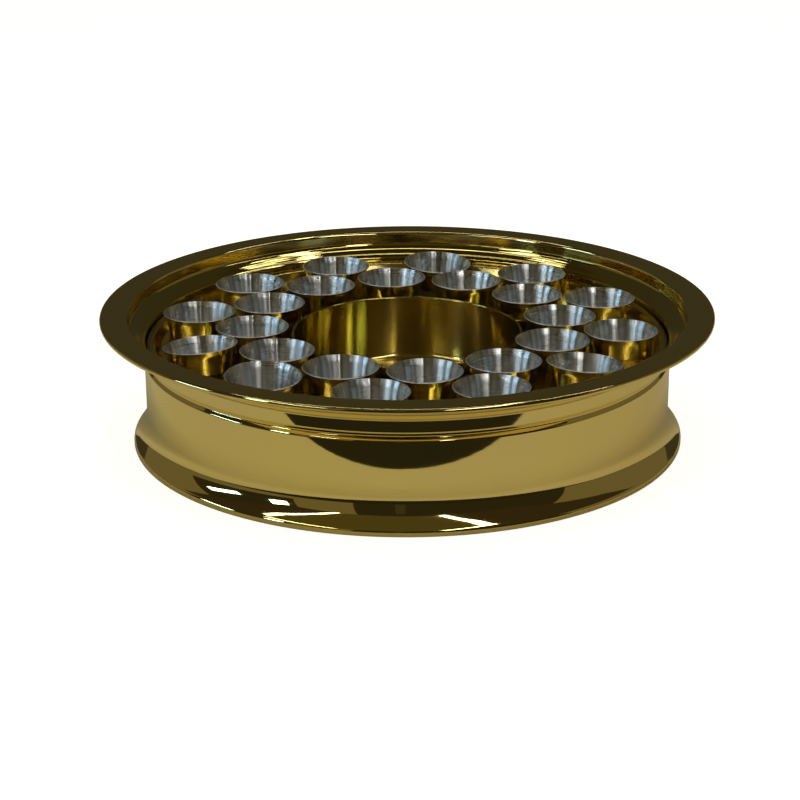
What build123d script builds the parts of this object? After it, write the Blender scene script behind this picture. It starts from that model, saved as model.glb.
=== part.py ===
"""Communion cup tray: a spun metal tray with a flat rim, a lift-out cup plate carrying
two staggered rings of tapered cups, and a straight-sided bowl standing in the middle.
The origin is at the centre of the foot, on the table. Millimetres, +Z up."""

import os
from math import ceil, cos, pi, radians, tan

from build123d import *

# Driving dimensions of the tray body, a sheet-metal ring that is open at the bottom.
# Radii and widths are to the face that is named.
tray_height = 66.4
sheet = 0.8
rim_radius = 152.5            # outside of the rolled rim edge
rim_width = 13.8              # flat of the rim, in to the wall of the recess
rim_hem_height = 2.5
rim_hem_return = 4.0          # how far the hem runs back under the rim
rim_bend = 1.6
recess_depth = 6.9            # stacking recess: takes the foot of the tray above
recess_ledge = 7.45           # in to the outside of the wall
recess_bend = 2.2
stacking_gap = 0.45           # between the recess and the foot that stands in it
shoulder_drop = 5.4           # from the recess down to where the shoulder meets the wall
shoulder_bend = 2.0
bead_drop = 8.7               # from the shoulder down to the bead that carries the cup plate
bead_depth = 1.6
bead_half_width = 2.3
bead_bend = 1.6
bead_edge_bend = 0.8
foot_flare_angle = 49.0       # from the vertical
foot_flare_bend = 17.0
foot_band_height = 2.6
foot_band_bend = 1.7
foot_edge_bend = 0.2
foot_lip_width = 4.0          # flat lip turned in under the foot

# Floor of the tray, a shallow dish soldered inside the wall.
floor_cup_gap = 5.0           # from the floor up to the bases of the cups
floor_edge_height = 6.0
floor_bend = 1.2
solder_gap = 0.05

# Cup plate, which hangs over the bead.
deck_rise = 2.2               # from the middle of the bead up to the top of the deck
plate_sheet = 0.8
plate_rim_rise = 4.3          # the raised rim above the deck
plate_rim_width = 3.6
plate_rim_run = 2.7           # horizontal run of the slope from the deck to the raised rim
plate_bend = 1.1
plate_wall_gap = 0.35
plate_seat_gap = 0.2
bowl_hole_gap = 0.7

# Centre bowl, which stands on the floor and passes through the plate.
bowl_lip_rise = 5.7           # top of the rolled lip above the deck
bowl_sheet = 0.5
bowl_hem_width = 1.3
bowl_hem_return = 2.2
bowl_bend = 3.0

# Cups, each one a tapered steel cup with a flared lip.
cup_lip_rise = 10.6           # mouth of the cup above the deck
cup_length = 34.0
cup_taper = 12.5              # of the body, from the vertical
cup_flare = 27.0              # of the lip, from the vertical
cup_flare_height = 2.6
cup_flare_bend = 7.0
cup_base_bend = 1.6
cup_sheet = 0.6
cup_hole_gap = 0.25

# Two rings of cups, the outer one half a step further round.
cup_count = 12                # in each ring
cup_wall_gap = 6.25           # from the lips of the outer ring to the outside of the wall
ring_step = 29.4              # from the middles of the outer ring to those of the inner ring
cup_gap = 4.127               # along the inner ring, from the lip of one cup to the next
cup_bowl_gap = 1.3            # from the lips of the inner ring to the lip of the bowl
inner_ring_angle = 7.5

# Bends up to this radius are drawn as a few flats, which keeps the part light.
largest_flat_bend = 7.0
largest_flat_turn = 80.0      # degrees that one flat may stand for
shortest_edge = 0.001

# Cups that stand askew in their holes: degrees, and the direction that the lip leans to.
leaning_cups = {
    "cup_outer_03": (4.0, 315.0),
    "cup_outer_07": (5.5, 140.0),
    "cup_outer_08": (4.0, 290.0),
    "cup_outer_11": (5.0, 45.0),
}

# Radii that follow, from the rim inwards.
recess_radius = rim_radius - rim_width
wall_radius = recess_radius - recess_ledge
wall_inside = wall_radius - sheet
foot_radius = recess_radius - stacking_gap
foot_inside = foot_radius - sheet
plate_radius = wall_inside - plate_wall_gap

# The cups are as wide as the inner ring has room for, lip by lip.
cup_turn = 2 * pi / cup_count
inner_ring_reach = wall_radius - cup_wall_gap - ring_step
cup_lip_radius = (inner_ring_reach * cup_turn - cup_gap) / (2 + cup_turn)
cup_neck_radius = cup_lip_radius - cup_flare_height * tan(radians(cup_flare))
inner_ring_radius = inner_ring_reach - cup_lip_radius
outer_ring_radius = inner_ring_radius + ring_step
outer_ring_angle = inner_ring_angle + 180 / cup_count
bowl_lip_radius = inner_ring_radius - cup_lip_radius - cup_bowl_gap
bowl_hole_radius = bowl_lip_radius + bowl_hole_gap

# Heights above the table that follow, from the rim down.
recess_floor = tray_height - recess_depth
shoulder_height = recess_floor - shoulder_drop
bead_height = shoulder_height - bead_drop
deck_top = bead_height + deck_rise
plate_rim_top = deck_top + plate_rim_rise
bowl_lip_height = deck_top + bowl_lip_rise
cup_lip_height = deck_top + cup_lip_rise
flare_foot = cup_lip_height - cup_flare_height
cup_base_height = cup_lip_height - cup_length
floor_top = cup_base_height - floor_cup_gap
flare_start = foot_band_height + (foot_inside - wall_inside) / tan(radians(foot_flare_angle))


def bead_face_height(radius):
    """Height of the bead's upper flank, inside the wall, at a radius."""
    return bead_height + bead_half_width * (1 - (wall_inside - radius) / bead_depth)


def cup_radius(height):
    """Outside radius of a cup's tapered body at a height."""
    return cup_neck_radius - (flare_foot - height) * tan(radians(cup_taper))


cup_hole_radius = cup_radius(deck_top) + cup_hole_gap


def bend_edges(start, end, direction, radius, turn):
    """The edges of one bend: a tangent arc, or flats between points on it."""
    arc = TangentArc(start, end, tangent=direction)
    if radius > largest_flat_bend:
        return [arc]
    flats = ceil(turn / largest_flat_turn)
    points = [arc @ (k / flats) for k in range(flats + 1)]
    return [Line(a, b) for a, b in zip(points, points[1:])]


def face_line(corners):
    """Lines and bends through (radius, height, bend radius) corners."""
    points = [Vector(r, 0, z) for r, z, _ in corners]
    edges = []
    start = points[0]
    for i in range(1, len(corners) - 1):
        inward = (points[i] - points[i - 1]).normalized()
        outward = (points[i + 1] - points[i]).normalized()
        turn = inward.get_angle(outward)
        reach = corners[i][2] * tan(radians(turn) / 2)
        bend_start = points[i] - inward * reach
        bend_end = points[i] + outward * reach
        if (bend_start - start).length > shortest_edge:
            edges.append(Line(start, bend_start))
        if reach:
            edges += bend_edges(bend_start, bend_end, inward, corners[i][2], turn)
        start = bend_end
    edges.append(Line(start, points[-1]))
    return edges


def other_side(corners, thickness):
    """The corners moved sideways through the sheet, to the right of their direction."""
    points = [Vector(r, 0, z) for r, z, _ in corners]
    steps = [(b - a).normalized() for a, b in zip(points, points[1:])]
    moved = []
    for i, (point, (_, _, bend)) in enumerate(zip(points, corners)):
        inward = steps[max(i - 1, 0)]
        outward = steps[min(i, len(steps) - 1)]
        across = Vector(inward.Z + outward.Z, 0, -inward.X - outward.X)
        shift = across * (thickness / (1 + inward.dot(outward)))
        left_turn = inward.X * outward.Z - inward.Z * outward.X > 0
        new_bend = bend + thickness if left_turn else bend - thickness
        place = point + shift
        moved.append((place.X, place.Z, new_bend if bend else 0))
    return moved


def spun_sheet(corners, thickness):
    """A sheet of one thickness, spun about the Z axis. The corners run along one face,
    and the sheet lies to the right of their direction."""
    near = face_line(corners)
    far = face_line(other_side(corners, thickness))
    ends = [Line(near[0] @ 0, far[0] @ 0), Line(near[-1] @ 1, far[-1] @ 1)]
    return revolve(make_face(Curve() + near + far + ends), Axis.Z)


def tray_body():
    """Rim, stacking recess, shoulder, wall with its bead, and flared foot, in one piece."""
    hem_bend = rim_hem_height / 2
    hem_underside = tray_height - rim_hem_height
    return spun_sheet([
        (foot_radius - foot_lip_width, sheet, 0),
        (foot_inside, sheet, foot_edge_bend),
        (foot_inside, foot_band_height, foot_band_bend),
        (wall_inside, flare_start, foot_flare_bend + sheet),
        (wall_inside, bead_height - bead_half_width, bead_edge_bend),
        (wall_inside - bead_depth, bead_height, bead_bend),
        (wall_inside, bead_height + bead_half_width, bead_edge_bend),
        (wall_inside, shoulder_height, shoulder_bend),
        (recess_radius, recess_floor, recess_bend),
        (recess_radius, tray_height, rim_bend),
        (rim_radius, tray_height, hem_bend),
        (rim_radius, hem_underside, hem_bend),
        (rim_radius - rim_hem_return, hem_underside, 0),
    ], sheet)


def floor_plate():
    """Floor of the tray, with its edge turned up against the wall."""
    edge_inside = wall_inside - solder_gap - sheet
    return spun_sheet([
        (0, floor_top, 0),
        (edge_inside, floor_top, floor_bend),
        (edge_inside, floor_top + floor_edge_height, 0),
    ], sheet)


def ring_places(radius, angle):
    """Middles of the cup holes in one ring."""
    return PolarLocations(radius, cup_count, start_angle=angle)


def cup_plate():
    """Flat deck with a hole for each cup and one for the bowl, and a raised outer rim."""
    skirt_foot = bead_face_height(plate_radius) + plate_seat_gap
    rim_inside = plate_radius - plate_rim_width
    plate = spun_sheet([
        (bowl_hole_radius, deck_top - plate_sheet, 0),
        (rim_inside - plate_rim_run, deck_top - plate_sheet, plate_bend),
        (rim_inside, plate_rim_top - plate_sheet, plate_bend),
        (plate_radius - plate_sheet, plate_rim_top - plate_sheet, plate_bend),
        (plate_radius - plate_sheet, skirt_foot, 0),
    ], -plate_sheet)
    punch = Cylinder(cup_hole_radius, 4 * plate_sheet)
    for radius, angle in rings.values():
        plate -= [Pos(0, 0, deck_top) * place * punch for place in ring_places(radius, angle)]
    return plate


def centre_bowl():
    """Straight-sided bowl with a lip rolled outwards."""
    hem_bend = bowl_hem_width / 2
    inside = bowl_lip_radius - bowl_hem_width
    return spun_sheet([
        (0, floor_top + bowl_sheet, 0),
        (inside, floor_top + bowl_sheet, bowl_bend),
        (inside, bowl_lip_height, hem_bend),
        (bowl_lip_radius, bowl_lip_height, hem_bend),
        (bowl_lip_radius, bowl_lip_height - bowl_hem_return, 0),
    ], bowl_sheet)


def upright_cup():
    """One cup on the Z axis, at its height in the plate."""
    return spun_sheet([
        (0, cup_base_height, 0),
        (cup_radius(cup_base_height), cup_base_height, cup_base_bend),
        (cup_neck_radius, flare_foot, cup_flare_bend),
        (cup_lip_radius, cup_lip_height, 0),
    ], -cup_sheet)


def askew(cup, lean, direction):
    """The cup tipped in its round hole. Its wall meets the hole on two sides, so it rides
    up a little and moves over, away from the side that it leans to."""
    seat_radius = cup_radius(deck_top)
    near_side = cos(radians(cup_taper)) / cos(radians(cup_taper + lean))
    far_side = cos(radians(cup_taper)) / cos(radians(cup_taper - lean))
    spread = seat_radius * ((near_side + far_side) / 2 - 1)
    over = seat_radius * (far_side - near_side) / 2
    lift = spread / tan(radians(cup_taper))
    tipped = Pos(over, 0, deck_top + lift) * Rot(0, lean, 0) * Pos(0, 0, -deck_top) * cup
    return Rot(0, 0, direction) * tipped


rings = {
    "outer": (outer_ring_radius, outer_ring_angle),
    "inner": (inner_ring_radius, inner_ring_angle),
}

parts = {
    "tray_body": tray_body(),
    "floor_plate": floor_plate(),
    "cup_plate": cup_plate(),
    "centre_bowl": centre_bowl(),
}
cup = upright_cup()
for ring, (radius, angle) in rings.items():
    for number, place in enumerate(ring_places(radius, angle), 1):
        name = f"cup_{ring}_{number:02d}"
        stood = askew(cup, *leaning_cups[name]) if name in leaning_cups else cup
        parts[name] = Pos(place.position) * stood

os.makedirs("parts", exist_ok=True)
for name, solid in parts.items():
    solid.label = name
    export_step(solid, f"parts/{name}.step")
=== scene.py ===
"""Dresses the communion cup tray: spun gold-toned sheet metal, brushed cups, and a plain stage."""

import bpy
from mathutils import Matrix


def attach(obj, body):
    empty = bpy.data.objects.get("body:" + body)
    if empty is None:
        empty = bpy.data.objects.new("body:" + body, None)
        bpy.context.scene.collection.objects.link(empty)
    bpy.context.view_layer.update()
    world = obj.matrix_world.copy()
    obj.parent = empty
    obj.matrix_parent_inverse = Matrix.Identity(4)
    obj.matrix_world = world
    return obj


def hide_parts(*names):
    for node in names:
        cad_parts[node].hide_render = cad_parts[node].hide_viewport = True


bl_info = {
    "name": "Communion Cup Tray",
    "version": (1, 0, 0),
    "blender": (4, 5, 0),
    "location": "3D View > Sidebar > Tray",
    "description": "Spins the tray, its cup plate, bowl and cups, and sets the stage",
    "category": "Object",
}

from math import atan2, ceil, cos, pi, radians, sin, tan

import bpy
from bpy.props import FloatProperty, FloatVectorProperty, IntProperty, PointerProperty
from mathutils import Matrix, Vector

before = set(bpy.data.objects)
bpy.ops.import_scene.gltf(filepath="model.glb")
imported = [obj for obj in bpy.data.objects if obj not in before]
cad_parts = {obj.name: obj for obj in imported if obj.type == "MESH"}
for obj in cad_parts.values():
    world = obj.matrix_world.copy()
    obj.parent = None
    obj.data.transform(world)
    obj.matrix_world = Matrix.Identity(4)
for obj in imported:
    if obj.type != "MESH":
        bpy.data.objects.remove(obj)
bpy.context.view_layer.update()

CUP_MAP = "around_and_up"

# Radiance of the studio's cards.
TAN_WALL = (0.14, 0.118, 0.06)
DARK_WALL = (0.024, 0.02, 0.008)
DIM_WALL = (0.043, 0.038, 0.021)
DIM_CEILING = (0.07, 0.057, 0.018)
BROWN_CEILING = (0.032, 0.024, 0.011)

# Cups that stand askew in their holes: degrees, and the direction that the lip leans to.
LEANING_CUPS = {
    "cup_outer_03": (4.0, 315.0),
    "cup_outer_07": (5.5, 140.0),
    "cup_outer_08": (4.0, 290.0),
    "cup_outer_11": (5.0, 45.0),
}


def length(name, description, default):
    """A property that holds a length in metres."""
    return FloatProperty(name=name, description=description, default=default, unit="LENGTH", precision=5)


def angle(name, description, default):
    """A property that holds an angle, with its default given in degrees."""
    return FloatProperty(name=name, description=description, default=radians(default), subtype="ANGLE")


class TraySizes(bpy.types.PropertyGroup):
    """Sizes of the tray body and its floor. Heights are above the table."""
    height: length("Height", "From the table to the flat of the rim", 0.0664)
    sheet: length("Sheet", "Thickness of the metal", 0.0008)
    rim_radius: length("Rim radius", "Outside of the rolled rim edge", 0.1525)
    hem_height: length("Hem height", "Height of the rolled rim edge", 0.0025)
    hem_return: length("Hem return", "How far the hem runs back under the rim", 0.004)
    rim_bend: length("Rim bend", "Bend from the recess to the rim", 0.0016)
    recess_radius: length("Recess radius", "Wall of the stacking recess", 0.1387)
    recess_depth: length("Recess depth", "Ledge of the stacking recess under the rim", 0.0069)
    recess_bend: length("Recess bend", "Bend at the ledge", 0.0022)
    wall_radius: length("Wall radius", "Outside of the wall", 0.13125)
    shoulder_height: length("Shoulder height", "Where the shoulder would meet the wall", 0.0541)
    shoulder_bend: length("Shoulder bend", "Bend from the wall to the shoulder", 0.002)
    bead_height: length("Bead height", "Middle of the bead that carries the cup plate", 0.0454)
    bead_depth: length("Bead depth", "How far the bead stands in from the wall", 0.0016)
    bead_half_width: length("Bead half width", "From the bead's middle to its edge", 0.0023)
    bead_bend: length("Bead bend", "Bend along the bead's crest", 0.0016)
    bead_edge_bend: length("Bead edge bend", "Bend along each edge of the bead", 0.0008)
    foot_radius: length("Foot radius", "Outside of the foot", 0.13825)
    flare_angle: angle("Flare", "Slope of the flared foot, from the vertical", 49.0)
    flare_bend: length("Flare bend", "Bend from the wall to the flare", 0.017)
    band_height: length("Band height", "Upright band at the foot", 0.0026)
    band_bend: length("Band bend", "Bend from the flare to the band", 0.0017)
    edge_bend: length("Edge bend", "Bend under the foot", 0.0002)
    lip_width: length("Lip width", "Flat lip turned in under the foot", 0.004)
    floor_top: length("Floor", "Upper face of the floor", 0.0192)
    floor_edge: length("Floor edge", "Height of the floor's turned-up edge", 0.006)
    floor_bend: length("Floor bend", "Bend at the floor's edge", 0.0012)
    solder_gap: length("Solder gap", "Between the floor's edge and the wall", 0.00005)


class PlateSizes(bpy.types.PropertyGroup):
    """Sizes of the cup plate."""
    deck_top: length("Deck", "Upper face of the deck", 0.0476)
    sheet: length("Sheet", "Thickness of the metal", 0.0008)
    rim_rise: length("Rim rise", "The raised rim above the deck", 0.0043)
    rim_width: length("Rim width", "Flat of the raised rim", 0.0036)
    rim_run: length("Rim run", "Run of the slope up to the raised rim", 0.0027)
    bend: length("Bend", "Bends of the raised rim", 0.0011)
    wall_gap: length("Wall gap", "Between the plate and the wall", 0.00035)
    seat_gap: length("Seat gap", "Between the skirt and the bead", 0.0002)
    bowl_gap: length("Bowl gap", "Between the bowl's lip and its hole", 0.0007)
    hole_gap: length("Hole gap", "Between a cup and its hole", 0.00025)


class BowlSizes(bpy.types.PropertyGroup):
    """Sizes of the centre bowl."""
    lip_height: length("Lip height", "Top of the rolled lip", 0.0533)
    lip_radius: length("Lip radius", "Outside of the rolled lip", 0.0579)
    sheet: length("Sheet", "Thickness of the metal", 0.0005)
    hem_width: length("Hem width", "Width of the rolled lip", 0.0013)
    hem_return: length("Hem return", "How far the lip runs back down", 0.0022)
    bend: length("Bend", "Bend from the side to the bottom", 0.003)


class CupSizes(bpy.types.PropertyGroup):
    """Sizes of one cup, and of the two rings that the cups stand in."""
    count: IntProperty(name="Cups in a ring", description="Cups in each ring", default=12)
    outer_radius: length("Outer ring", "Radius of the outer ring", 0.1068)
    inner_radius: length("Inner ring", "Radius of the inner ring", 0.0774)
    outer_angle: angle("Outer start", "Direction of the outer ring's first cup", 22.5)
    inner_angle: angle("Inner start", "Direction of the inner ring's first cup", 7.5)
    lip_radius: length("Lip radius", "Outside of the mouth", 0.0182)
    lip_height: length("Lip height", "Mouth above the table", 0.0582)
    length: length("Length", "From the base to the mouth", 0.034)
    taper: angle("Taper", "Taper of the body, from the vertical", 12.5)
    flare: angle("Flare", "Flare of the lip, from the vertical", 27.0)
    flare_height: length("Flare height", "Height of the flared lip", 0.0026)
    flare_bend: length("Flare bend", "Bend from the body to the lip", 0.007)
    base_bend: length("Base bend", "Bend at the base", 0.0016)
    sheet: length("Sheet", "Thickness of the metal", 0.0006)


class Looks(bpy.types.PropertyGroup):
    """Colours and finishes."""
    gold: FloatVectorProperty(name="Gold", description="Gold-toned metal", subtype="COLOR",
                              default=(0.89, 0.73, 0.26))
    steel: FloatVectorProperty(name="Steel", description="Metal inside the cups", subtype="COLOR",
                               default=(0.95, 0.94, 0.89))
    floor: FloatVectorProperty(name="Floor", description="Table under the tray", subtype="COLOR",
                               default=(0.64, 0.57, 0.37))
    polish: FloatProperty(name="Polish", description="Roughness of the polished metal", default=0.035,
                          min=0.0, max=1.0, subtype="FACTOR")
    turning: FloatProperty(name="Turning", description="Roughness of the turned inner faces", default=0.13,
                           min=0.0, max=1.0, subtype="FACTOR")
    brushing: FloatProperty(name="Brushing", description="Roughness of the brushed metal", default=0.31,
                            min=0.0, max=1.0, subtype="FACTOR")
    # A paler gold, mixed in at random along the turning marks.
    marked_gold: FloatVectorProperty(name="Worn gold", description="Gold tone along the turning marks",
                                   subtype="COLOR", default=(0.93, 0.80, 0.45))
    # A darker, greener gold for the faces inside the tray and for the cups' outsides. Its darkness is painted
    # shade.
    painted_shade_gold: FloatVectorProperty(name="Inner gold", description="Gold-toned metal inside the tray",
                                    subtype="COLOR", default=(0.64, 0.515, 0.135))
    mark_depth: length("Marks", "Depth of the turning marks", 0.000003)
    ridge_depth: length("Ridges", "Depth of the ridges on the shoulder", 0.00012)
    wave_depth: length("Waves", "Depth of the slow waves in the metal", 0.00004)
    facet_depth: length("Facets", "Depth of the flats that run up and down each cup", 0.00011)


class StageSettings(bpy.types.PropertyGroup):
    """The camera of the photograph, and the stage."""
    camera_place: FloatVectorProperty(name="Camera", description="Place of the camera", unit="LENGTH",
                                      default=(0.023565, -1.003, 0.3772))
    camera_pitch: angle("Pitch", "How far the camera looks down", 19.798)
    camera_turn: angle("Turn", "How far the camera looks to the left", 1.557)
    camera_roll: angle("Roll", "Clockwise roll of the camera", 0.29)
    lens: FloatProperty(name="Lens", description="Focal length in millimetres", default=94.52)
    table_front: length("Table front", "Front edge of the table, before the tray's middle", 0.209)
    table_reach: length("Table reach", "How far the table reaches to the sides and back", 1.6)
    studio_reach: length("Studio reach", "From the tray to each wall of the studio", 3.2)
    studio_height: length("Studio height", "Ceiling of the studio", 2.2)
    lamp_frame: FloatVectorProperty(name="Lamp frame", size=4, default=(-0.8, 0.42, -1.68, -0.2),
                                    description="Left, right, front and back of the strips, in heights")
    strip_width: length("Strip width", "Width of each strip of light", 0.16)
    strip_light: FloatProperty(name="Strips", description="Radiance of the strips", default=8.0)
    window_light: FloatProperty(name="Window", description="Radiance of the window", default=11.0)
    table_light: FloatProperty(name="Table light", description="Radiance of the soft box over the table",
                               default=2.0)


def pick_none():
    """Leaves edit mode and deselects every object."""
    if bpy.context.object and bpy.context.object.mode != "OBJECT":
        bpy.ops.object.mode_set(mode="OBJECT")
    bpy.ops.object.select_all(action="DESELECT")


def start_mesh(name, radius, height):
    """A new mesh of one point, in the plane through the tray's axis, in edit mode."""
    pick_none()
    bpy.ops.mesh.primitive_plane_add(size=0.001, location=(0, 0, 0), enter_editmode=True)
    piece = bpy.context.object
    piece.name = name
    piece.data.name = name
    bpy.ops.mesh.merge(type="CENTER")
    bpy.ops.transform.translate(value=(radius, 0, height))
    return piece


def draw_line(step):
    """Draws on from the selected point by one straight step."""
    bpy.ops.mesh.extrude_vertices_move(TRANSFORM_OT_translate={"value": step})


def draw_bend(point, inward, outward, bend, steps):
    """Draws on from the selected point round a bend that would have its corner at a point."""
    turn = inward.angle(outward)
    left = inward.cross(outward).y < 0
    side = Vector((-inward.z, 0, inward.x)) * (1 if left else -1)
    centre = point - inward * (bend * tan(turn / 2)) + side * bend
    bpy.ops.mesh.spin(steps=steps, angle=turn, center=centre, axis=(0, 1, 0) if left else (0, -1, 0))


def draw_section(name, corners, bend_step=radians(7)):
    """A line through (radius, height, bend) corners, drawn in the plane through the axis."""
    points = [Vector((r, 0, z)) for r, z, _ in corners]
    piece = start_mesh(name, corners[0][0], corners[0][1])
    here = points[0]
    for i in range(1, len(corners) - 1):
        inward = (points[i] - points[i - 1]).normalized()
        outward = (points[i + 1] - points[i]).normalized()
        turn = inward.angle(outward)
        bend = corners[i][2]
        reach = bend * tan(turn / 2)
        start = points[i] - inward * reach
        if (start - here).length > 1e-6:
            draw_line(start - here)
        draw_bend(points[i], inward, outward, bend, max(3, ceil(turn / bend_step)))
        here = points[i] + outward * reach
    draw_line(points[-1] - here)
    return piece


def spin_section(steps):
    """Spins the drawn section about the tray's axis, and closes the seam and the middle."""
    bpy.ops.mesh.select_all(action="SELECT")
    bpy.ops.mesh.spin(steps=steps, angle=2 * pi, center=(0, 0, 0), axis=(0, 0, 1))
    bpy.ops.mesh.select_all(action="SELECT")
    bpy.ops.mesh.remove_doubles(threshold=2e-6)
    bpy.ops.mesh.dissolve_degenerate(threshold=1e-7)


def apply_modifier(piece, kind, **settings):
    """Adds a modifier to a piece, sets it and applies it."""
    modifier = piece.modifiers.new(kind.title(), kind)
    for key, value in settings.items():
        setattr(modifier, key, value)
    bpy.ops.object.modifier_apply(modifier=modifier.name)


def spun_sheet(name, corners, sheet, steps=240, lip_bevel=0.0, edge_material=0, outer_material=0):
    """A surface spun from its section, faced so that the sheet which solid_sheet gives it lies to the right of the
    direction in which the corners run, or to the left where its thickness is negative."""
    piece = draw_section(name, corners)
    spin_section(steps)
    if sheet > 0:
        bpy.ops.mesh.flip_normals()
    pick_none()
    piece.select_set(True)
    bpy.context.view_layer.objects.active = piece
    return piece


def solid_sheet(piece, sheet, far_material=0, edge_material=0):
    """Gives the spun surface its thickness, away from the way that it faces."""
    apply_modifier(piece, "SOLIDIFY", thickness=abs(sheet), offset=-1, use_even_offset=True,
                   use_quality_normals=True, material_offset=far_material,
                   material_offset_rim=edge_material)


def finish_surface(piece, edge_bevel=0.0):
    """Breaks the sharp edges and smooths the rest, with flats that stay flat."""
    if edge_bevel:
        apply_modifier(piece, "BEVEL", width=edge_bevel, segments=3, limit_method="ANGLE",
                       angle_limit=radians(50), use_clamp_overlap=True)
    bpy.ops.object.shade_smooth_by_angle(angle=radians(40))
    apply_modifier(piece, "WEIGHTED_NORMAL", keep_sharp=True, weight=80)


def put_on(piece, *materials):
    """Puts the materials on a piece, in the order of its slots."""
    piece.data.materials.clear()
    for material in materials:
        piece.data.materials.append(material)


def principled(name):
    """A new material, with its tree and its shader."""
    material = bpy.data.materials.new(name)
    material.use_nodes = True
    tree = material.node_tree
    return material, tree, tree.nodes["Principled BSDF"]


def add_node(tree, kind, inputs=None, **settings):
    """Adds a shader node with its settings. An input is a value, or a socket to link from."""
    made = tree.nodes.new("ShaderNode" + kind)
    for key, value in settings.items():
        setattr(made, key, value)
    for socket, value in (inputs or {}).items():
        if isinstance(value, bpy.types.NodeSocket):
            tree.links.new(value, made.inputs[socket])
        else:
            made.inputs[socket].default_value = value
    return made


def noise(tree, vector, scale, detail=2.0):
    """Noise at a scale, spread out to fill 0 to 1."""
    made = add_node(tree, "TexNoise", {"Vector": vector, "Scale": scale, "Detail": detail})
    return add_node(tree, "MapRange", {"Value": made.outputs[0], 1: 0.3, 2: 0.7}).outputs[0]


def between(tree, factor, low, high):
    """A number that runs from low to high with the factor."""
    return add_node(tree, "MapRange", {"Value": factor, 3: low, 4: high}).outputs[0]


def blend(tree, factor, first, second):
    """A colour that runs from the first to the second with the factor."""
    return add_node(tree, "Mix", {0: factor, 6: (*first, 1), 7: second if isinstance(
        second, bpy.types.NodeSocket) else (*second, 1)}, data_type="RGBA").outputs[2]


def bump(tree, height, depth, normal=None):
    """A bump of one depth in metres, on top of another."""
    made = add_node(tree, "Bump", {"Height": height, "Distance": depth, "Strength": 1.0})
    if normal:
        tree.links.new(normal, made.inputs["Normal"])
    return made.outputs[0]


def gilding(name, looks, marks_place, gloss, mark_depth, gold=None):
    """Gold-toned metal with turning marks, smudges and slow waves in it."""
    gold = gold or looks.gold
    material, tree, shader = principled(name)
    place = add_node(tree, "TexCoord").outputs["Object"]
    marks = noise(tree, marks_place(tree, place), 900.0)
    smudges = noise(tree, place, 16.0, 4.0)
    paler = [c * f for c, f in zip(gold, (0.98, 0.97, 1.2))]
    tint = blend(tree, smudges, gold, paler)
    # Up to 0.15 of a paler gold is mixed in at random along the turning marks.
    marked_share = between(tree, marks, 0.0, 0.15)
    colour = add_node(tree, "Mix", {0: marked_share, 6: tint, 7: (*looks.marked_gold, 1)}, data_type="RGBA").outputs[2]
    roughness = add_node(tree, "Math", {0: between(tree, smudges, 0.7 * gloss, 1.2 * gloss),
                                        1: between(tree, marks, 0.0, 0.3 * gloss)}).outputs[0]
    tree.links.new(colour, shader.inputs["Base Color"])
    tree.links.new(roughness, shader.inputs["Roughness"])
    waves = bump(tree, noise(tree, place, 22.0, 0.0), looks.wave_depth)
    tree.links.new(bump(tree, marks, mark_depth, waves), shader.inputs["Normal"])
    shader.inputs["Metallic"].default_value = 1.0
    return material, tree, shader


def brush_round(tree, shader, **tangent):
    """Stretches the shine across the brushing, which runs round the piece."""
    round_it = add_node(tree, "Tangent", **tangent).outputs[0]
    tree.links.new(round_it, shader.inputs["Tangent"])
    shader.inputs["Anisotropic"].default_value = 0.95
    shader.inputs["Anisotropic Rotation"].default_value = 0.25


def rings_place(tree, place):
    """Distance from the tray's axis, and height: where these repeat, so do the turning marks."""
    flat = add_node(tree, "VectorMath", {0: place, 1: (1, 1, 0)}, operation="MULTIPLY").outputs[0]
    radius = add_node(tree, "VectorMath", {0: flat}, operation="LENGTH").outputs["Value"]
    height = add_node(tree, "SeparateXYZ", {0: place}).outputs["Z"]
    return add_node(tree, "CombineXYZ", {0: radius, 1: height}).outputs[0]


def bands_place(tree, place):
    """Height above all, for turning marks that run round each cup."""
    return add_node(tree, "VectorMath", {0: place, 1: (0.03, 0.03, 1.6)}, operation="MULTIPLY").outputs[0]


def round_place(tree):
    """A point on a circle for the direction from the cup's own axis."""
    around = add_node(tree, "SeparateXYZ", {0: add_node(tree, "UVMap", uv_map=CUP_MAP).outputs[0]}).outputs[0]
    turn = add_node(tree, "Math", {0: around, 1: 2 * pi}, operation="MULTIPLY").outputs[0]
    across = add_node(tree, "Math", {0: turn}, operation="COSINE").outputs[0]
    along = add_node(tree, "Math", {0: turn}, operation="SINE").outputs[0]
    return add_node(tree, "CombineXYZ", {0: across, 1: along}).outputs[0]


def polished_gold(looks):
    """Mirror finish, outside and on the rim."""
    return gilding("polished_gold", looks, rings_place, looks.polish, 0.2 * looks.mark_depth)[0]


def turned_gold(looks):
    """Inner faces, which keep the marks of the turning."""
    # The inner faces take the darker gold, which is painted shade.
    material, tree, shader = gilding("turned_gold", looks, rings_place, looks.turning, looks.mark_depth,
                                     looks.painted_shade_gold)
    brush_round(tree, shader, direction_type="RADIAL", axis="Z")
    return material


def ridged_gold(looks):
    """The shoulder, where the spinning tool has left fine ridges that run round."""
    # The shoulder takes the darker gold, which is painted shade.
    material, tree, shader = gilding("ridged_gold", looks, rings_place, looks.polish, looks.mark_depth,
                                     looks.painted_shade_gold)
    place = add_node(tree, "TexCoord").outputs["Object"]
    ridges = noise(tree, rings_place(tree, place), 620.0, 1.0)
    marks = shader.inputs["Normal"].links[0].from_socket
    tree.links.new(bump(tree, ridges, looks.ridge_depth, marks), shader.inputs["Normal"])
    return material


def cup_gold(looks):
    """Outsides of the cups, brushed round."""
    # The cups' outsides take the darker gold, which is painted shade.
    material, tree, shader = gilding("cup_gold", looks, bands_place, 0.4 * looks.brushing, 0.5 * looks.mark_depth,
                                     looks.painted_shade_gold)
    brush_round(tree, shader, direction_type="UV_MAP", uv_map=CUP_MAP)
    return material


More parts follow.
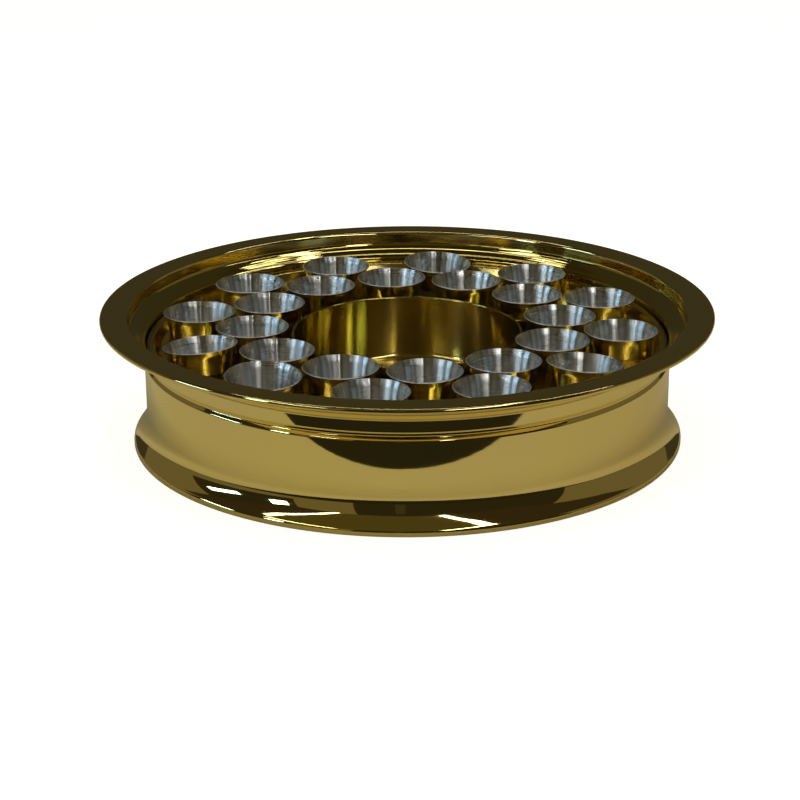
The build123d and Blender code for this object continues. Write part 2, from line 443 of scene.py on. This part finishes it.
def brushed_steel(looks):
    """Bare steel inside the cups, brushed round, so that its shine runs up and down."""
    material, tree, shader = principled("brushed_steel")
    place = add_node(tree, "TexCoord").outputs["Object"]
    brushing = noise(tree, bands_place(tree, place), 1400.0, 3.0)
    # The facets dent the steel. They also set its colour, from 0.35 of the steel up to all of it, which gives
    # painted reflection streaks running up and down each cup.
    facets_and_painted_streaks = noise(tree, round_place(tree), 6.0, 5.0)
    cloud = noise(tree, place, 60.0, 2.0)
    darker = [c * 0.35 for c in looks.steel]
    tree.links.new(blend(tree, facets_and_painted_streaks, darker, looks.steel), shader.inputs["Base Color"])
    rough = between(tree, brushing, 0.8 * looks.brushing, 1.15 * looks.brushing)
    roughness = add_node(tree, "Math", {0: rough, 1: between(tree, cloud, -0.02, 0.03)}).outputs[0]
    tree.links.new(roughness, shader.inputs["Roughness"])
    dents = bump(tree, facets_and_painted_streaks, looks.facet_depth)
    tree.links.new(bump(tree, brushing, 0.4 * looks.mark_depth, dents), shader.inputs["Normal"])
    brush_round(tree, shader, direction_type="UV_MAP", uv_map=CUP_MAP)
    shader.inputs["Metallic"].default_value = 1.0
    return material


def lip_steel(looks):
    """The cut edge round each cup's mouth, rubbed to a satin finish."""
    material, tree, shader = principled("lip_steel")
    place = add_node(tree, "TexCoord").outputs["Object"]
    rubbed = noise(tree, place, 300.0, 2.0)
    tree.links.new(blend(tree, rubbed, [c * 0.85 for c in looks.steel], looks.steel), shader.inputs["Base Color"])
    tree.links.new(between(tree, rubbed, 0.4, 0.55), shader.inputs["Roughness"])
    shader.inputs["Metallic"].default_value = 1.0
    return material


def material_once(name, make):
    """The material of that name, made the first time that it is asked for."""
    return bpy.data.materials.get(name) or make(bpy.context.scene.tray_looks)


def bead_face_height(tray, radius):
    """Height of the bead's upper flank, inside the wall, at a radius."""
    wall_inside = tray.wall_radius - tray.sheet
    return tray.bead_height + tray.bead_half_width * (1 - (wall_inside - radius) / tray.bead_depth)


def tray_corners(tray):
    """Corners of the tray body's inner face, from the lip under the foot to the hem."""
    wall_inside = tray.wall_radius - tray.sheet
    foot_inside = tray.foot_radius - tray.sheet
    flare_start = tray.band_height + (foot_inside - wall_inside) / tan(tray.flare_angle)
    hem_bend = tray.hem_height / 2
    hem_underside = tray.height - tray.hem_height
    return [
        (tray.foot_radius - tray.lip_width, tray.sheet, 0),
        (foot_inside, tray.sheet, tray.edge_bend),
        (foot_inside, tray.band_height, tray.band_bend),
        (wall_inside, flare_start, tray.flare_bend + tray.sheet),
        (wall_inside, tray.bead_height - tray.bead_half_width, tray.bead_edge_bend),
        (wall_inside - tray.bead_depth, tray.bead_height, tray.bead_bend),
        (wall_inside, tray.bead_height + tray.bead_half_width, tray.bead_edge_bend),
        (wall_inside, tray.shoulder_height, tray.shoulder_bend),
        (tray.recess_radius, tray.height - tray.recess_depth, tray.recess_bend),
        (tray.recess_radius, tray.height, tray.rim_bend),
        (tray.rim_radius, tray.height, hem_bend),
        (tray.rim_radius, hem_underside, hem_bend),
        (tray.rim_radius - tray.hem_return, hem_underside, 0),
    ]


def take_place(piece, node, body):
    """The piece stands for a node, whose part is hidden, and moves with its body."""
    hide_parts(node)
    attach(piece, body)


class TRAY_OT_body(bpy.types.Operator):
    """Spins the tray body: rim, recess, wall with its bead, and flared foot"""
    bl_idname = "tray.body"
    bl_label = "Tray Body"

    def execute(self, context):
        tray = context.scene.tray_sizes
        piece = spun_sheet("tray_shell", tray_corners(tray), tray.sheet)
        solid_sheet(piece, tray.sheet)
        finish_surface(piece, edge_bevel=0.0001)
        put_on(piece, material_once("polished_gold", polished_gold), material_once("turned_gold", turned_gold),
               material_once("ridged_gold", ridged_gold))
        for face in piece.data.polygons:
            inward = face.normal.dot(face.center * Vector((1, 1, 0))) < 0
            if inward and face.center.z < tray.height - tray.rim_bend:
                on_shoulder = tray.bead_height < face.center.z < tray.height - tray.recess_depth + tray.recess_bend
                face.material_index = 2 if on_shoulder else 1
        take_place(piece, "tray_body", "tray")
        return {"FINISHED"}


class TRAY_OT_floor(bpy.types.Operator):
    """Spins the floor of the tray"""
    bl_idname = "tray.floor"
    bl_label = "Tray Floor"

    def execute(self, context):
        tray = context.scene.tray_sizes
        edge_inside = tray.wall_radius - 2 * tray.sheet - tray.solder_gap
        piece = spun_sheet("tray_floor", [
            (0, tray.floor_top, 0),
            (edge_inside, tray.floor_top, tray.floor_bend),
            (edge_inside, tray.floor_top + tray.floor_edge, 0),
        ], tray.sheet)
        solid_sheet(piece, tray.sheet)
        finish_surface(piece, edge_bevel=0.0001)
        put_on(piece, material_once("turned_gold", turned_gold))
        take_place(piece, "floor_plate", "tray")
        return {"FINISHED"}


def cup_radius(cup, height):
    """Outside radius of a cup's tapered body at a height."""
    neck = cup.lip_radius - cup.flare_height * tan(cup.flare)
    return neck - (cup.lip_height - cup.flare_height - height) * tan(cup.taper)


def ring_places(cup):
    """Each cup's name with the middle of its hole."""
    places = {}
    rings = {"outer": (cup.outer_radius, cup.outer_angle), "inner": (cup.inner_radius, cup.inner_angle)}
    for ring, (radius, start) in rings.items():
        for number in range(cup.count):
            turn = start + 2 * pi * number / cup.count
            places[f"cup_{ring}_{number + 1:02d}"] = Vector((radius * cos(turn), radius * sin(turn), 0))
    return places


class TRAY_OT_cup_plate(bpy.types.Operator):
    """Spins the cup plate and punches its holes"""
    bl_idname = "tray.cup_plate"
    bl_label = "Cup Plate"

    def execute(self, context):
        tray = context.scene.tray_sizes
        plate = context.scene.tray_plate
        bowl = context.scene.tray_bowl
        cup = context.scene.tray_cup
        underside = plate.deck_top - plate.sheet
        outside = tray.wall_radius - tray.sheet - plate.wall_gap
        rim_inside = outside - plate.rim_width
        rim_underside = underside + plate.rim_rise
        piece = spun_sheet("cup_plate_shell", [
            (bowl.lip_radius + plate.bowl_gap, underside, 0),
            (rim_inside - plate.rim_run, underside, plate.bend),
            (rim_inside, rim_underside, plate.bend),
            (outside - plate.sheet, rim_underside, plate.bend),
            (outside - plate.sheet, bead_face_height(tray, outside) + plate.seat_gap, 0),
        ], -plate.sheet)
        solid_sheet(piece, plate.sheet)
        punches = self.punches(plate, cup)
        pick_none()
        piece.select_set(True)
        context.view_layer.objects.active = piece
        apply_modifier(piece, "BOOLEAN", object=punches, operation="DIFFERENCE", solver="EXACT")
        bpy.data.objects.remove(punches)
        finish_surface(piece)
        put_on(piece, material_once("turned_gold", turned_gold))
        take_place(piece, "cup_plate", "plate")
        return {"FINISHED"}

    def punches(self, plate, cup):
        """One mesh of all the punches that make the cup holes."""
        pick_none()
        radius = cup_radius(cup, plate.deck_top) + plate.hole_gap
        made = []
        for place in ring_places(cup).values():
            bpy.ops.mesh.primitive_cylinder_add(
                vertices=96, radius=radius, depth=4 * plate.sheet,
                location=place + Vector((0, 0, plate.deck_top - plate.sheet / 2)))
            made.append(bpy.context.object)
        for punch in made:
            punch.select_set(True)
        bpy.ops.object.join()
        return bpy.context.object


class TRAY_OT_bowl(bpy.types.Operator):
    """Spins the centre bowl with its rolled lip"""
    bl_idname = "tray.bowl"
    bl_label = "Centre Bowl"

    def execute(self, context):
        tray = context.scene.tray_sizes
        bowl = context.scene.tray_bowl
        inside = bowl.lip_radius - bowl.hem_width
        bottom = tray.floor_top + bowl.sheet
        piece = spun_sheet("bowl_shell", [
            (0, bottom, 0),
            (inside, bottom, bowl.bend),
            (inside, bowl.lip_height, bowl.hem_width / 2),
            (bowl.lip_radius, bowl.lip_height, bowl.hem_width / 2),
            (bowl.lip_radius, bowl.lip_height - bowl.hem_return, 0),
        ], bowl.sheet, steps=192)
        solid_sheet(piece, bowl.sheet)
        finish_surface(piece, edge_bevel=0.0001)
        put_on(piece, material_once("turned_gold", turned_gold))
        take_place(piece, "centre_bowl", "bowl")
        return {"FINISHED"}


def askew(cup, plate, lean, direction):
    """The move that tips an upright cup on the axis in its round hole."""
    seat_radius = cup_radius(cup, plate.deck_top)
    near_side = cos(cup.taper) / cos(cup.taper + lean)
    far_side = cos(cup.taper) / cos(cup.taper - lean)
    spread = seat_radius * ((near_side + far_side) / 2 - 1)
    over = seat_radius * (far_side - near_side) / 2
    lift = spread / tan(cup.taper)
    tip = Matrix.Rotation(lean, 4, "Y") @ Matrix.Translation((0, 0, -plate.deck_top))
    return (Matrix.Rotation(direction, 4, "Z") @ Matrix.Translation((over, 0, plate.deck_top + lift)) @ tip)


def lay_out_cup(pattern):
    """Writes the cup's map: round the cup in one direction and up it in the other."""
    layer = pattern.data.uv_layers.new(name=CUP_MAP)
    for face in pattern.data.polygons:
        middle = atan2(face.center.y, face.center.x)
        for corner in face.loop_indices:
            point = pattern.data.vertices[pattern.data.loops[corner].vertex_index].co
            turn = atan2(point.y, point.x) - middle
            turn -= 2 * pi * round(turn / (2 * pi))
            layer.data[corner].uv = ((middle + turn) / (2 * pi) + 0.5, point.z)


class TRAY_OT_cups(bpy.types.Operator):
    """Spins one cup and stands a copy in each hole"""
    bl_idname = "tray.cups"
    bl_label = "Cups"

    def execute(self, context):
        plate = context.scene.tray_plate
        cup = context.scene.tray_cup
        base = cup.lip_height - cup.length
        neck_height = cup.lip_height - cup.flare_height
        pattern = spun_sheet("cup_pattern", [
            (0, base, 0),
            (cup_radius(cup, base), base, cup.base_bend),
            (cup_radius(cup, neck_height), neck_height, cup.flare_bend),
            (cup.lip_radius, cup.lip_height, 0),
        ], -cup.sheet, steps=96)
        lay_out_cup(pattern)
        put_on(pattern, material_once("cup_gold", cup_gold),
               material_once("brushed_steel", brushed_steel), material_once("lip_steel", lip_steel))
        solid_sheet(pattern, cup.sheet, far_material=1, edge_material=2)
        finish_surface(pattern, edge_bevel=0.00018)
        for name, place in ring_places(cup).items():
            copy = pattern.copy()
            copy.data = pattern.data.copy()
            copy.name = name.replace("cup_", "cup_shell_")
            copy.data.name = copy.name
            context.scene.collection.objects.link(copy)
            stood = Matrix.Translation(place)
            if name in LEANING_CUPS:
                lean, direction = LEANING_CUPS[name]
                stood = stood @ askew(cup, plate, radians(lean), radians(direction))
            copy.data.transform(stood)
            take_place(copy, name, name + "_body")
        bpy.data.objects.remove(pattern)
        return {"FINISHED"}


def stage_material(name, colour, seen_white):
    """A matt stage colour. The camera sees white there, with the tray's shadow kept."""
    material, tree, shader = principled(name)
    shader.inputs["Base Color"].default_value = (*colour, 1)
    shader.inputs["Roughness"].default_value = 0.9
    shader.inputs["Specular IOR Level"].default_value = 0.0
    path = tree.nodes.new("ShaderNodeLightPath")
    glow = tree.nodes.new("ShaderNodeMath")
    glow.operation = "MULTIPLY"
    glow.inputs[1].default_value = seen_white
    tree.links.new(path.outputs["Is Camera Ray"], glow.inputs[0])
    shader.inputs["Emission Color"].default_value = (1, 1, 1, 1)
    tree.links.new(glow.outputs[0], shader.inputs["Emission Strength"])
    return material


def lamp(name, start, end, width, radiance, colour=(1, 1, 1), facing=(0, 0, -1)):
    """A soft lamp, unseen by the camera, whose middle line runs from start to end."""
    along = Vector(end) - Vector(start)
    x = along.normalized()
    z = -(Vector(facing) - x * x.dot(facing)).normalized()
    light = bpy.data.lights.new(name, "AREA")
    light.shape = "RECTANGLE"
    light.size, light.size_y = along.length, width
    light.energy = radiance * pi * along.length * width
    light.color = colour
    shown = bpy.data.objects.new(name, light)
    bpy.context.scene.collection.objects.link(shown)
    turn = Matrix((x, z.cross(x), z)).transposed().to_4x4()
    shown.matrix_world = Matrix.Translation((Vector(start) + Vector(end)) / 2) @ turn
    shown.visible_camera = False
    return shown


def card(name, corners, colour):
    """A flat card that glows dimly, unseen by the camera: a wall or ceiling of the studio."""
    pick_none()
    bpy.ops.mesh.primitive_plane_add(size=2)
    shown = bpy.context.object
    shown.name = name
    for vertex, place in zip(shown.data.vertices, corners):
        vertex.co = place
    material, tree, shader = principled(name)
    shader.inputs["Base Color"].default_value = (0, 0, 0, 1)
    shader.inputs["Specular IOR Level"].default_value = 0.0
    shader.inputs["Emission Color"].default_value = (*colour, 1)
    shader.inputs["Emission Strength"].default_value = 1.0
    put_on(shown, material)
    shown.visible_camera = False
    return shown


class TRAY_OT_stage(bpy.types.Operator):
    """Sets the table, the backdrop, the lamps and the camera"""
    bl_idname = "tray.stage"
    bl_label = "Stage"

    def execute(self, context):
        stage = context.scene.tray_stage
        looks = context.scene.tray_looks
        self.table(stage, looks)
        self.studio(stage)
        self.lamps(stage)
        self.world(context.scene)
        self.camera(stage)
        context.scene.view_settings.view_transform = "Standard"
        return {"FINISHED"}

    def table(self, stage, looks):
        """A pale table top, with the darker floor of the studio around it."""
        pick_none()
        depth = stage.table_reach + stage.table_front
        bpy.ops.mesh.primitive_plane_add(size=1, location=(0, 0, 0))
        top = bpy.context.object
        top.name = "stage_table"
        top.data.transform(Matrix.Translation((0, stage.table_reach / 2 - stage.table_front / 2, 0))
                           @ Matrix.Diagonal((2 * stage.table_reach, depth, 1, 1)))
        put_on(top, stage_material("stage_pale", tuple(looks.floor), 0.85))
        pick_none()
        bpy.ops.mesh.primitive_plane_add(size=60, location=(0, 0, 0))
        around = bpy.context.object
        around.name = "stage_floor"
        around.data.transform(Matrix.Translation((0, 0, -0.0005)))
        put_on(around, stage_material("stage_dark", (0.03, 0.027, 0.015), 1.0))

    def studio(self, stage):
        """The dim walls and ceiling of the studio, which the polished metal shows."""
        side, high = stage.studio_reach, stage.studio_height
        left, right, front, back = [f * high for f in stage.lamp_frame]
        walls = {
            "front_left": ((-side, -side), (-1.2, -side), TAN_WALL),
            "front": ((-1.2, -side), (side, -side), DARK_WALL),
            "front_right": ((side, -side), (side, -1.3), DARK_WALL),
            "right": ((side, -1.3), (side, side), TAN_WALL),
            "back": ((side, side), (-side, side), DIM_WALL),
            "left": ((-side, side), (-side, -side), TAN_WALL),
        }
        cards = [self.wall("stage_wall_" + name, start, end, -0.001, high, colour)
                 for name, (start, end, colour) in walls.items()]
        frame_wall = 0.03 - side
        cards.append(self.wall("stage_window_frame", (frame_wall, 0.4), (frame_wall, -3.1), 0.45, high,
                               DARK_WALL))
        cards.append(self.wall("stage_post", (-0.2, 0.05 - side), (0.02, 0.05 - side), 0.0, 1.7,
                               DIM_WALL))
        cards.append(self.ceiling("stage_ceiling", -side, side, -side, 1.4, high, BROWN_CEILING))
        cards.append(self.ceiling("stage_ceiling_back", -side, side, 1.4, side, high, DIM_WALL))
        cards.append(self.ceiling("stage_ceiling_panel", left, right, front, back, high - 0.01,
                                  DIM_CEILING))

    def wall(self, name, start, end, low, high, colour):
        """An upright card between two points of the plan."""
        return card(name, [(*start, low), (*end, low), (*start, high), (*end, high)], colour)

    def ceiling(self, name, left, right, front, back, height, colour):
        """A level card."""
        return card(name, [(left, front, height), (right, front, height), (left, back, height),
                           (right, back, height)], colour)

    def lamps(self, stage):
        """Strips around the ceiling panel, a spot behind it, a window at the left, and a soft box that
        lights the table alone."""
        height = stage.studio_height - 0.02
        left, right, front, back = [f * stage.studio_height for f in stage.lamp_frame]
        width = stage.strip_width
        lamp("strip_left", (left, back, height), (left, front, height), width, stage.strip_light)
        lamp("strip_front", (left, front, height), (right, front, height), width, stage.strip_light)
        lamp("strip_right", (right, back, height), (right, front, height), width, stage.strip_light)
        wall = 0.05 - stage.studio_reach
        lamp("window_near", (wall, -1.0, 1.0), (wall, 0.0, 1.3), 0.3, stage.window_light,
             (0.45, 0.72, 1.0), facing=(1, 0, 0))
        lamp("window_far", (wall, -2.7, 1.5), (wall, -2.0, 1.5), 0.7, stage.window_light,
             (0.55, 0.80, 1.0), facing=(1, 0, 0))
        lamp("spot_back", (0.55, 0.55, height), (0.69, 0.55, height), 0.14, 2 * stage.strip_light)
        lamp("strip_corner", (right, -2.6, height), (right, front, height), width, 5 * stage.strip_light)
        lamp("strip_back", (-1.1, 0.9, height), (1.5, 0.9, height), 0.12, 0.7 * stage.strip_light)
        soft_box = lamp("soft_box", (-0.8, 0, height), (0.8, 0, height), 1.6, stage.table_light)
        soft_box.visible_glossy = False

    def world(self, scene):
        """A white surround, which the camera and the polished metal see past the studio's cards."""
        world = bpy.data.worlds.new("stage_world")
        world.use_nodes = True
        tree = world.node_tree
        dim = tree.nodes["Background"]
        dim.inputs["Color"].default_value = (0.08, 0.08, 0.075, 1)
        white = tree.nodes.new("ShaderNodeBackground")
        white.inputs["Color"].default_value = (1, 1, 1, 1)
        path = tree.nodes.new("ShaderNodeLightPath")
        seen = tree.nodes.new("ShaderNodeMath")
        seen.operation = "MAXIMUM"
        mix = tree.nodes.new("ShaderNodeMixShader")
        tree.links.new(path.outputs["Is Camera Ray"], seen.inputs[0])
        tree.links.new(path.outputs["Is Glossy Ray"], seen.inputs[1])
        tree.links.new(seen.outputs[0], mix.inputs[0])
        tree.links.new(dim.outputs[0], mix.inputs[1])
        tree.links.new(white.outputs[0], mix.inputs[2])
        tree.links.new(mix.outputs[0], tree.nodes["World Output"].inputs["Surface"])
        scene.world = world

    def camera(self, stage):
        """The camera of the photograph."""
        data = bpy.data.cameras.new("camera")
        data.lens = stage.lens
        data.sensor_width = 36
        shown = bpy.data.objects.new("camera", data)
        bpy.context.scene.collection.objects.link(shown)
        shown.matrix_world = (Matrix.Translation(stage.camera_place)
                              @ Matrix.Rotation(stage.camera_turn, 4, "Z")
                              @ Matrix.Rotation(pi / 2 - stage.camera_pitch, 4, "X")
                              @ Matrix.Rotation(-stage.camera_roll, 4, "Z"))
        bpy.context.scene.camera = shown


class TRAY_PT_panel(bpy.types.Panel):
    """Lists the steps that make the tray."""
    bl_label = "Communion Cup Tray"
    bl_space_type = "VIEW_3D"
    bl_region_type = "UI"
    bl_category = "Tray"

    def draw(self, context):
        for operator in OPERATORS:
            self.layout.operator(operator.bl_idname)


OPERATORS = (TRAY_OT_body, TRAY_OT_floor, TRAY_OT_cup_plate, TRAY_OT_bowl, TRAY_OT_cups, TRAY_OT_stage)
SETTINGS = {
    "tray_sizes": TraySizes,
    "tray_plate": PlateSizes,
    "tray_bowl": BowlSizes,
    "tray_cup": CupSizes,
    "tray_looks": Looks,
    "tray_stage": StageSettings,
}
CLASSES = (*SETTINGS.values(), *OPERATORS, TRAY_PT_panel)


def register():
    for cls in CLASSES:
        bpy.utils.register_class(cls)
    for name, group in SETTINGS.items():
        setattr(bpy.types.Scene, name, PointerProperty(type=group))


def unregister():
    for name in SETTINGS:
        delattr(bpy.types.Scene, name)
    for cls in reversed(CLASSES):
        bpy.utils.unregister_class(cls)


def main():
    """Makes the tray and the stage."""
    register()
    bpy.ops.tray.body()
    bpy.ops.tray.floor()
    bpy.ops.tray.cup_plate()
    bpy.ops.tray.bowl()
    bpy.ops.tray.cups()
    bpy.ops.tray.stage()


if __name__ == "__main__":
    main()
